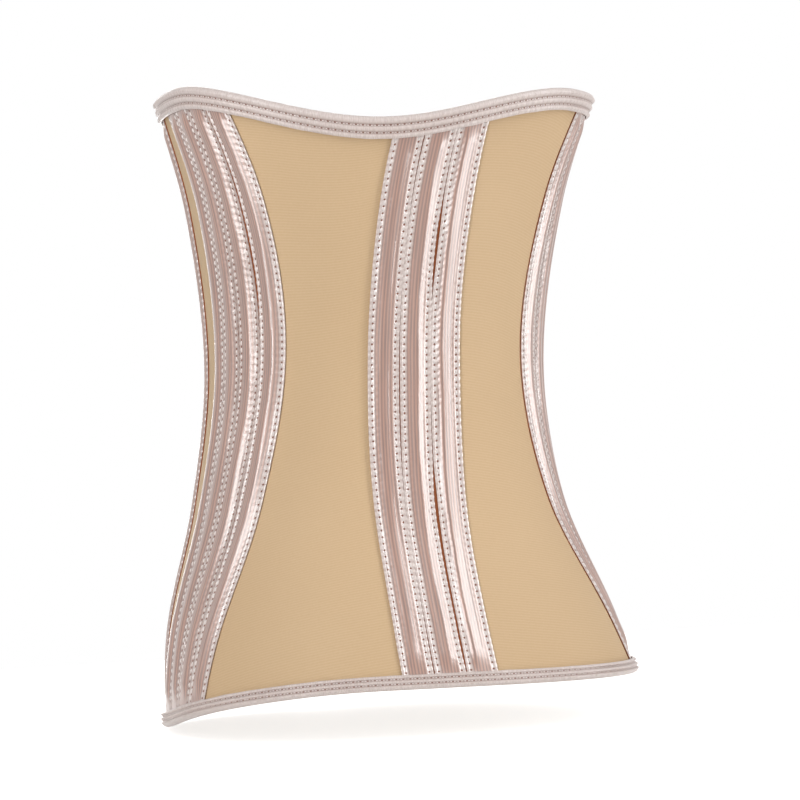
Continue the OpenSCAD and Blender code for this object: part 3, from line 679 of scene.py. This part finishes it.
# Groove along a row of stitches: depth, width and the share by which it is shallower between two stitches.
# Puffs outside and inside it: height, distance from the row and width
GROOVE_DEEP, GROOVE_WIDE, GROOVE_EASE = 0.4, 0.4, 0.45
OUTER_PUFF, INNER_PUFF = (0.3, 0.95, 0.5), (0.22, -1.1, 0.9)
# Sway of the dome: slow, quick and from stitch to stitch
SLOW_SWAY, QUICK_SWAY, STITCH_SWAY = 0.3, 0.1, 0.2
# Swing of a whole tape and its run, scallops of its edge, and the part of its half width where it spreads
TAPE_SWING, SWING_RUN, SCALLOP, SPREAD_FROM = 0.22, 23, 0.3, 0.55
# Underside: places across as shares of half the width, height of the bone's channel there, and lift of both
# edges
UNDER_PLACES = np.array([-1, -0.58, -0.36, 0.36, 0.58, 1])
CHANNEL = np.array([0, 0, 1.4, 1.4, 0, 0])
UNDER_LIFT = 0.4
STITCH_ROW = TAPE_W / 2 - ROW_INSET
# Domes: slope of the left side, height, tilt of the top and slope of the right side
PLAIN_DOME, FIRST_DOME = (0.7, 1.7, -0.06, 0.7), (0.5, 2.2, -0.05, 0.4)
CENTRE_DOMES = (0.36, 1.3, 0.04, 0.28), (0.36, 2.1, 0.05, 0.42), (0.9, 1.6, -0.17, 0.22)
# Spread of margins, and stretches of height where two tapes are sewn apart, with the gap and its easing
SIDE_SPREAD, CENTRE_SPREAD, OUTER_SPREAD, MIDDLE_SPREAD = 0.2, 0.85, 0.7, 0.75
FIRST_GAP, UPPER_GAP, LOWER_GAP, GAP_EASE = (30, 138, 0.7), (36, 75, 0.6), (-158, -62, 0.65), 12
# Tapes of one group are this far apart in the phase of their waves
TAPE_PHASE = 1.7


def tape_columns():
    """Places across a tape, closest together in the sewn margins."""
    half = TAPE_W / 2
    margin = MARGIN_COLUMNS - half
    over_bone = np.linspace(-half + DOME_INSET, half - DOME_INSET, DOME_COLUMNS)
    return np.concatenate([margin, over_bone, -margin[::-1]])


def dome(s, rise, high, tilt, fall):
    """Height of a tape over its bone: the lowest of a rising slope, a tilted top and a falling slope, with
    a rounding where they meet and where they run out at the feet."""
    slopes = np.stack([rise * (DOME_FOOT + s), high + tilt * s, fall * (DOME_FOOT - s)])
    p = -SHOULDER_ROUND * np.log(np.exp(-slopes / SHOULDER_ROUND).sum(axis=0))
    return (p + np.sqrt(p * p + FOOT_ROUND)) / 2


def tape_surface(s, run, phase, shape):
    """Height of a sewn tape over its base: the dome, which sways a little with the stitches and fades out
    under the bindings, a groove along each row of stitches, and puckers between the stitches beside it. drift
    makes them uneven: it is a sum of sines whose lengths don't divide each other."""
    fade = smooth(*HEM_FADE, run) * smooth(*TOP_FADE, run[-1] - run)
    wave = stitch_wave(run)
    drift = 0.8 + 0.25 * np.sin(run / 17 + phase) + 0.35 * np.sin(run * 2.1 + 3 * phase) * np.sin(run * 0.77)
    off = np.abs(s)[:, None]
    groove = -GROOVE_DEEP * ridge(off, STITCH_ROW, GROOVE_WIDE) * (1 - GROOVE_EASE * wave)
    puff = wave * drift * sum(high * ridge(off, STITCH_ROW + far, wide)
                              for high, far, wide in (OUTER_PUFF, INNER_PUFF))
    sway = SLOW_SWAY * np.sin(run / 11 + phase) + drift * (
        QUICK_SWAY * np.sin(run / 2.6 + 2 * phase) + STITCH_SWAY * (wave - 0.5))
    return dome(s[:, None] + sway, *shape) * fade + groove + puff


def gap_between(z, low, high, wide):
    """Extra gap between two tapes, in a stretch of heights where they were sewn a little apart."""
    return (wide * smooth(low - GAP_EASE, low + GAP_EASE, z)
            * (1 - smooth(high - GAP_EASE, high + GAP_EASE, z)))


def bone_tape(name, line, middle, side_name, nodes, rests_on, spread, phase, shape, satin):
    """One bone tape, with a channel for its bone on the underside, and its two rows of stitches. spread
    widens its left and right margins, as numbers or as functions of height, so that neighbours meet as they
    do in the sewn group."""
    side = SIDES.get(side_name, RIGHT)
    ends = beside(line, middle - TAPE_W / 2), beside(line, middle + TAPE_W / 2)
    rows = np.linspace(0, 1, TAPE_ROWS)
    left, right = (e if callable(e) else (lambda z, e=e: e + 0 * z) for e in spread)

    def laid(s):
        """Angles and heights of columns at places s, with the margins spread and a slow swing as a sine."""
        grow = smooth(SPREAD_FROM, 1.0, np.abs(s) / (TAPE_W / 2))[:, None]
        first = (s < 0)[:, None]

        def sway(z):
            swing = TAPE_SWING * np.sin(z / SWING_RUN + phase)
            return (np.where(first, -left(z), right(z)) * grow + swing) / TAPE_W

        return patch(*ends, s / TAPE_W + 0.5, rows, side, TAPE_INSET, sway)

    s = tape_columns()
    phi, z = laid(s)
    run = middle_run(on_body(phi, z, TAPE_OUT))
    outer = on_body(phi, z, TAPE_OUT + tape_surface(s, run, phase, shape))
    scallop = (SCALLOP * (1 - stitch_wave(run)))[:, None]
    # At the needle holes each edge column is pulled towards the third one in from it
    for at, towards in ((0, 3), (-1, -4)):
        inwards = outer[towards] - outer[at]
        outer[at] += scallop * inwards / np.linalg.norm(inwards, axis=-1, keepdims=True)
    under_s = UNDER_PLACES * TAPE_W / 2
    lift = CHANNEL[:, None] * smooth(*CHANNEL_FADE, run) * smooth(*CHANNEL_FADE, run[-1] - run)
    lift[[0, -1]] = UNDER_LIFT
    phi, z = laid(under_s)
    inner = on_body(phi, z, TAPE_BASE + lift)
    part = shell(outer, inner, cloth_uv(s, run), cloth_uv(under_s, run))
    piece = make_piece(name, [part], satin, side, SATIN_CREASE)
    settle(piece, side_name, nodes)
    columns = [int(np.argmin(np.abs(s - row))) for row in (-STITCH_ROW, STITCH_ROW)]
    return [sew(outer[k], outer[k + 1], run, TAPE_PLAIN) for k in columns]


def group_middles(count, pitch):
    """Arcs from the middle of a group to each of its tapes."""
    return [(i - (count + 1) / 2) * pitch for i in range(1, count + 1)]


def tape_group(prefix, line, pitch, side_name, node_prefix, rests_on, tapes):
    """A group of bone tapes side by side, with all their stitches as one piece. Each tape is given by the
    spread of its margins, the shape of its dome and its satin."""
    seams = []
    for i, (tape, middle) in enumerate(zip(tapes, group_middles(len(tapes), pitch)), 1):
        seams += bone_tape(f"{prefix}_satin_{i}", line, middle, side_name, [f"{node_prefix}_{i}"], rests_on,
                           phase=TAPE_PHASE * i + len(prefix), **tape)
    thread = make_piece(prefix + "_stitches", seams, THREADS, SIDES.get(side_name, RIGHT))
    settle(thread, side_name)


def shade_strip(name, from_line, to_line, side_name, rests_on):
    """Brown strip of painted shade under a group of tapes."""
    flat_cloth(name, [(from_line, to_line)], SHADE_STRIP_IN, SHADE_STRIP_OUT, BROWN_SHADE, side_name, "satin_tape", (),
               rests_on, SHADE_STRIP_STEP, SHADE_STRIP_INSET)


# Binding: points on a leaf and over the fold, and start and rise of the fold
LEAF_POINTS, LEAF_SKIP, FOLD_POINTS = 26, 5, 9
FOLD_START, FOLD_RISE = -1.4, 2.2
# Its hollow is cut off at the corners by these two lengths
HOLLOW_DROP, HOLLOW_CUT = 0.5, 0.6
# Grooves of its rows: depth, width and the share by which they are shallower between two stitches. Swells:
# places and width as shares of its height, height, and the share of it that is always there. The loose edge
# ripples over a share of the height
ROW_DEEP, ROW_WIDE, ROW_EASE = 0.45, 0.45, 0.4
SWELLS, SWELL_WIDE, SWELL_HIGH, SWELL_LEAST = (0.11, 0.46, 0.83), 0.085, 0.95, 0.3
RIPPLE_REACH = 0.2


def binding_profile(h):
    """Outer face of the binding as height from the edge and distance out: up the inner leaf, over a
    half-ellipse fold and down the outer leaf. Also the number of points before the outer leaf."""
    leaf = np.linspace(-h, FOLD_START, LEAF_POINTS)
    fold = np.linspace(0, np.pi, FOLD_POINTS)[1:-1]
    middle, half = (LEAF_OUT + LEAF_IN) / 2, (LEAF_OUT - LEAF_IN) / 2 + BIND_T
    inside = leaf[::LEAF_SKIP]
    inner = np.stack([inside, np.full_like(inside, LEAF_IN - BIND_T)], axis=-1)
    over = np.stack([FOLD_START + FOLD_RISE * np.sin(fold), middle - half * np.cos(fold)], axis=-1)
    outer = np.stack([leaf[::-1], np.full_like(leaf, LEAF_OUT + BIND_T)], axis=-1)
    return np.concatenate([inner, over, outer]), len(inner) + len(over)


def edge_binding(name, up, side_name, nodes):
    """Binding of one side, from the centre back to the closure, along the top edge or the hem: a closed
    profile carried along the edge, with its two rows of stitches. The outer leaf sinks in a groove along each
    row and swells beside it between the stitches, unevenly by a sum of sines as on a tape. The loose edge
    ripples as a sum of two sines."""
    side = SIDES[side_name]
    closure = closure_line(HOOK_EDGE if side == RIGHT else LEFT_EDGE)
    edge, last, h = (top_edge, TOP_FRONT, TOP_BIND_H) if up > 0 else (hem_edge, -HEM_FRONT, HEM_BIND_H)
    last = np.array([last], float)
    for _ in range(ROUNDS):
        last = edge(line_phi(closure, last), side)
    fine = np.linspace(0, line_phi(closure, last)[0], EDGE_ROWS)
    run = lengths(on_body(fine, edge(fine, side), LEAF_OUT))
    phi = np.interp(np.linspace(0, run[-1], int(run[-1] / BINDING_STEP)), run, fine)
    level = edge(phi, side)
    run = lengths(on_body(phi, level, LEAF_OUT))

    profile, leaf = binding_profile(h)
    from_edge = (profile[:, 0] / h + 1)[:, None]
    on_leaf = (np.arange(len(profile)) >= leaf)[:, None]
    wave = stitch_wave(run)
    sink = sum(ridge(from_edge, row, ROW_WIDE / h) for row in BINDING_ROWS)
    swell = sum(ridge(from_edge, place, SWELL_WIDE) for place in SWELLS)
    drift = 0.8 + 0.25 * np.sin(run / 7) + 0.3 * np.sin(run * 2.3 + 1) * np.sin(run * 0.61)
    groove = -ROW_DEEP * sink * (1 - ROW_EASE * wave)
    puff = SWELL_HIGH * swell * (SWELL_LEAST + (1 - SWELL_LEAST) * wave * drift)
    relief = np.where(on_leaf, groove + puff, 0)
    ripple = 0.12 * np.sin(run / 6.5) + 0.08 * np.sin(run / 2.9 + 1)
    height = profile[:, :1] + np.where(from_edge < RIPPLE_REACH, ripple * (1 - from_edge / RIPPLE_REACH), 0)
    outer = on_body(phi, level + up * height, profile[:, 1:] + relief)
    hollow = np.array([
        [-h, LEAF_IN], [-HOLLOW_DROP, LEAF_IN], [0, LEAF_IN + HOLLOW_CUT],
        [0, LEAF_OUT - HOLLOW_CUT], [-HOLLOW_DROP, LEAF_OUT], [-h, LEAF_OUT],
    ])
    inner = on_body(phi, level + up * hollow[:, :1], hollow[:, 1:])
    across = lengths(profile)
    across = (across[-1] - across) / h
    points, faces, uv = shell(outer, inner, cloth_uv(across, run),
                              cloth_uv(np.linspace(across[0], 0, len(hollow)), run))
    if up < 0:
        faces = [f[:, ::-1] for f in faces]
    piece = make_piece(name, [(points, faces, uv)], BINDING, side, SATIN_CREASE)
    settle(piece, side_name, nodes)
    columns = [leaf + int(np.argmin(np.abs(from_edge[leaf:, 0] - row))) for row in BINDING_ROWS]
    seams = [sew(outer[k], outer[k - up], run) for k in columns]
    thread = make_piece(name + "_stitches", seams, THREADS, side)
    settle(thread, side_name)


def bones(name, line, count, pitch, side_name, node):
    """Flat steels, one in the channel of each tape."""
    side = SIDES.get(side_name, RIGHT)
    share = np.linspace(0, 1, BONE_COLUMNS)
    parts = []
    for middle in group_middles(count, pitch):
        ends = beside(line, middle - BONE_W / 2), beside(line, middle + BONE_W / 2)
        phi, z = patch(*ends, share, np.linspace(0, 1, BONE_ROWS), side, BONE_INSET)
        outer, inner = on_body(phi, z, BONE_OUT), on_body(phi, z, BONE_IN)
        uv = cloth_uv(BONE_W * share, middle_run(outer))
        parts.append(shell(outer, inner, uv, uv))
    piece = make_piece(name, parts, SPRING_STEEL, side)
    settle(piece, side_name, [node])


def dress_side(side_name):
    """Everything from the centre back to the closure on one side."""
    side = SIDES[side_name]
    edge = LEFT_EDGE if side == LEFT else HOOK_EDGE
    lining_edge = LEFT_EDGE + EYE_TAPE_SEAM + SEAM_GAP if side == LEFT else HOOK_EDGE
    tuck = DEEP_TUCK if side == LEFT else TUCK
    half_gap = SEAM_GAP / 2
    back, flank, front = (f"{side_name}_{part}_knit" for part in ("back", "side", "front"))
    lining = side_name + "_front_lining"
    centre_to = centre_line(CENTRE_EDGE, side)
    side_from, side_to = side_line(-SIDE_EDGE), side_line(SIDE_EDGE)
    front_from, front_to = front_line(0), front_line(FRONT_EDGE)

    knit = 0, SHELL_OUT, KNIT, side_name, "knit_shell"
    flat_cloth(back, [(centre_line(half_gap, side), centre_to), (centre_to, side_from), (side_from, side_to)],
               *knit, ["back_panel_" + side_name], ["back_lining"])
    flat_cloth(flank, [(side_line(SIDE_EDGE + BUTT_GAP), front_from),
                       (front_from, front_line(FRONT_SEAM - half_gap))],
               *knit, [side_name + "_side_panel"], [lining])
    flat_cloth(front, [(front_line(FRONT_SEAM + half_gap), front_to), (front_to, closure_line(edge))],
               *knit, [side_name + "_front_panel"], [lining])
    flat_cloth(side_name + "_cotton_lining",
               [(centre_line(0, side), side_from), (side_from, side_to), (side_to, front_from),
                (front_from, front_to), (front_to, closure_line(lining_edge))],
               LINING_IN, LINING_OUT, COTTON, side_name, "cotton_lining", ["back_lining", lining],
               [back, front])

    # Brown strips of painted shade under the side and front tape groups
    shade_strip(side_name + "_side_shade_strip", side_line(-SIDE_EDGE + tuck), side_line(SIDE_EDGE - TUCK),
             side_name, [back])
    shade_strip(side_name + "_front_shade_strip", front_line(TUCK), front_line(FRONT_EDGE - TUCK),
             side_name, [flank, front])

    def first_gap(z):
        return SIDE_SPREAD - gap_between(z, *FIRST_GAP)

    # Side tapes after the first, and the front tapes, take the satin whose margins are darker as painted
    # shade
    plain = {"spread": (SIDE_SPREAD, SIDE_SPREAD), "shape": PLAIN_DOME, "satin": SHADED_SIDE_SATIN}
    first = {"spread": (SIDE_SPREAD, first_gap), "shape": FIRST_DOME, "satin": SATIN}
    tape_group(side_name + "_side_tape", side_line(0), SIDE_PITCH, side_name, side_name + "_tape",
               [back], [first, plain, plain, plain])
    tape_group(side_name + "_front_tape", front_line(FRONT_SEAM), FRONT_PITCH, side_name,
               side_name + "_front_tape", [flank, front], [plain] * 3)
    bones(side_name + "_side_steels", side_line(0), 4, SIDE_PITCH, side_name, side_name + "_bones")
    bones(side_name + "_front_steels", front_line(FRONT_SEAM), 3, FRONT_PITCH, side_name,
          side_name + "_front_bones")
    for rim, up in (("top", 1), ("hem", -1)):
        edge_binding(f"{side_name}_{rim}_fold", up, side_name,
                     [rim + "_binding_back", f"{side_name}_{rim}_binding"])


def dress_centre():
    """The three tapes of the centre back, the brown strip of painted shade under them and their steels."""
    under = ["left_back_knit", "right_back_knit"]
    # Brown strip of painted shade under the centre tapes
    shade_strip("centre_shade_strip", centre_line(-CENTRE_EDGE + DEEP_TUCK), centre_line(CENTRE_EDGE - DEEP_TUCK),
             None, under)

    def open_gap(z):
        return CENTRE_SPREAD - gap_between(z, *UPPER_GAP) - gap_between(z, *LOWER_GAP)

    spreads = (OUTER_SPREAD, CENTRE_SPREAD), (MIDDLE_SPREAD, open_gap), (open_gap, OUTER_SPREAD)
    tapes = [{"spread": spread, "shape": shape, "satin": SATIN}
             for spread, shape in zip(spreads, CENTRE_DOMES)]
    tape_group("centre_tape", centre_line(0), CENTRE_PITCH, None, "centre_tape", under, tapes)
    bones("centre_steels", centre_line(0), 3, CENTRE_PITCH, None, "centre_bones")


def closure_half(kind, body, start, stop, columns, t_in, t_out, lift, rows):
    """Tape of the hooks or of the eyes with its stitches, between two arcs from the middle of the closure.
    Past the edge of the right front it rises by lift, in a smooth step."""
    share = np.linspace(0, 1, columns)
    arc = start - share * (start - stop)
    rise = lift * (1 - smooth(HOOK_EDGE - HOOK_TAPE_RAMP, HOOK_EDGE, arc))[:, None]
    phi, z = patch(closure_line(start), closure_line(stop), share, np.linspace(0, 1, CLOSURE_ROWS), RIGHT,
                   TAPE_INSET)
    outer, inner = on_body(phi, z, t_out + rise), on_body(phi, z, t_in + rise)
    uv = cloth_uv(arc, middle_run(outer))
    tape = make_piece(kind + "_side_tape", [shell(outer, inner, uv, uv)], HERRINGBONE)
    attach(tape, body)
    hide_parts(kind + "_tape")
    picked = [int(np.argmin(np.abs(arc - row))) for row in rows]
    seams = [sew(outer[k], outer[k + 1], lengths(outer[k]), CLOSURE_PLAIN) for k in picked]
    thread = make_piece(kind + "_side_stitches", seams, THREADS)
    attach(thread, body)


dress_centre()
for side_name in SIDES:
    dress_side(side_name)
# The hook tape is sewn over the edge of the right front. The eye tape is level with the lining, from under
# the hooks to its seam under the left front
closure_half("hook", "right_front", HOOK_EDGE + HOOK_TAPE_SEAM, HOOK_TAPE_FREE, HOOK_COLUMNS,
             TAPE_BASE, TAPE_OUT, HOOK_TAPE_LIFT, HOOK_ROWS)
closure_half("eye", "left_front", EYE_TAPE_LAP, -LEFT_EDGE - EYE_TAPE_SEAM, EYE_COLUMNS,
             LINING_IN, LINING_OUT, 0, EYE_ROWS)
for node in ("hooks", "eyes"):
    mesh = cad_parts[node].data
    mesh.materials.clear()
    mesh.materials.append(HOOK_STEEL)

# Camera at the photograph's view: behind the brace, a little to its left, with a slight roll
CAMERA_YAW, CAMERA_PITCH, CAMERA_ROLL = (math.radians(a) for a in (-16.52, -0.63, 2.07))
CAMERA_FAR, CAMERA_LENS, SENSOR = 1465.5, 121.0, 36.0
CLIP_NEAR, CLIP_FAR = 0.05, 50
TARGET_RIGHT, TARGET_UP = 13.28, -20.13

# Studio, in metres: light of the world as a share of what it shows, glow of the floor where it is seen, the
# floor's half width, its distance below the hem in millimetres, and the soft boxes: elevations of the three
# in a column, azimuth and power of each column, and all of these for the front box
WORLD_LIGHT, FLOOR_GLOW = 0.13, 0.74
FLOOR_HALF, FLOOR_GAP = 0.45, 1.5
STRIP_FAR, STRIP_SIZE = 1.6, (0.38, 0.9)
STRIP_ELEVATIONS = {"_low_strip": -26, "_strip": 5, "_high_strip": 38}
STRIP_COLUMNS = {"right": (58, 7.6), "left": (-46, 7.8)}
FRONT_BOX = 172, 8, 1.7, (0.8, 1.4), 26
WHITE = (1, 1, 1, 1)


def look_at_brace():
    """Camera axes from yaw, pitch and roll. A roll to the right turns the picture to the left."""
    right = np.array([math.cos(CAMERA_YAW), math.sin(CAMERA_YAW), 0])
    back = np.array([math.sin(CAMERA_YAW) * math.cos(CAMERA_PITCH),
                     -math.cos(CAMERA_YAW) * math.cos(CAMERA_PITCH), math.sin(CAMERA_PITCH)])
    up = np.cross(back, right)
    place = (right * TARGET_RIGHT + np.array([0, 0, TARGET_UP]) + back * CAMERA_FAR) * MM
    rolled_right = right * math.cos(CAMERA_ROLL) - up * math.sin(CAMERA_ROLL)
    rolled_up = right * math.sin(CAMERA_ROLL) + up * math.cos(CAMERA_ROLL)
    axes = np.eye(4)
    axes[:3, :] = np.stack([rolled_right, rolled_up, back, place], axis=-1)
    data = bpy.data.cameras.new("photo_camera")
    data.lens, data.sensor_width = CAMERA_LENS, SENSOR
    data.clip_start, data.clip_end = CLIP_NEAR, CLIP_FAR
    camera = bpy.data.objects.new("photo_camera", data)
    bpy.context.scene.collection.objects.link(camera)
    camera.matrix_world = Matrix(axes.tolist())
    bpy.context.scene.camera = camera


def soft_box(name, azimuth, elevation, far, size, power):
    """An area lamp that faces the brace. Azimuth 0 is straight behind it, and + goes to its right."""
    data = bpy.data.lights.new(name, "AREA")
    data.shape, data.energy = "RECTANGLE", power
    data.size, data.size_y = size
    lamp = bpy.data.objects.new(name, data)
    bpy.context.scene.collection.objects.link(lamp)
    a, e = math.radians(azimuth), math.radians(elevation)
    lamp.location = (far * math.sin(a) * math.cos(e), -far * math.cos(a) * math.cos(e), far * math.sin(e))
    lamp.rotation_euler = (math.pi / 2 - e, 0, a)


def seen_directly(tree):
    """1 for camera, glossy and transmission rays."""
    path = add(tree, "LightPath")
    seen = add(tree, "Math", (path["Is Camera Ray"], path["Is Glossy Ray"]), operation="MAXIMUM")[0]
    return add(tree, "Math", (seen, path["Is Transmission Ray"]), operation="MAXIMUM")[0]


def light_the_studio():
    """White world, which lights the brace less than it shows, a column of three soft boxes on either side of
    the camera, and one box for the front."""
    world = bpy.data.worlds.new("white_studio")
    bpy.context.scene.world = world
    world.use_nodes = True
    tree = world.node_tree
    shown = add(tree, "MapRange", (seen_directly(tree), 0.0, 1.0, WORLD_LIGHT, 1.0))[0]
    connect(tree, tree.nodes["Background"], {"Strength": shown, "Color": WHITE})
    for column, (azimuth, power) in STRIP_COLUMNS.items():
        for place, elevation in STRIP_ELEVATIONS.items():
            soft_box(column + place, azimuth, elevation, STRIP_FAR, STRIP_SIZE, power)
    soft_box("front_box", *FRONT_BOX)


def lay_floor():
    """Matt white floor just below the hem, which glows where it is seen directly and so keeps the shadow. It
    is small enough to let the low boxes shine past it."""
    floor_z = (-HEM_LEFT - FLOOR_GAP) * MM
    corners = [(x * FLOOR_HALF, y * FLOOR_HALF, floor_z) for x, y in ((-1, -1), (1, -1), (1, 1), (-1, 1))]
    mesh = bpy.data.meshes.new("studio_floor")
    mesh.from_pydata(corners, [], [(0, 1, 2, 3)])
    floor = bpy.data.objects.new("studio_floor", mesh)
    bpy.context.scene.collection.objects.link(floor)
    material, tree, shader = start_material("pale_studio_floor")
    glow = add(tree, "Math", (seen_directly(tree), FLOOR_GLOW), operation="MULTIPLY")[0]
    connect(tree, shader, {
        "Base Color": linear("#F4F4F2"), "Roughness": 0.9, "Emission Color": WHITE, "Emission Strength": glow,
    })
    mesh.materials.append(material)


look_at_brace()
light_the_studio()
lay_floor()
bpy.context.scene.view_settings.view_transform = "Standard"
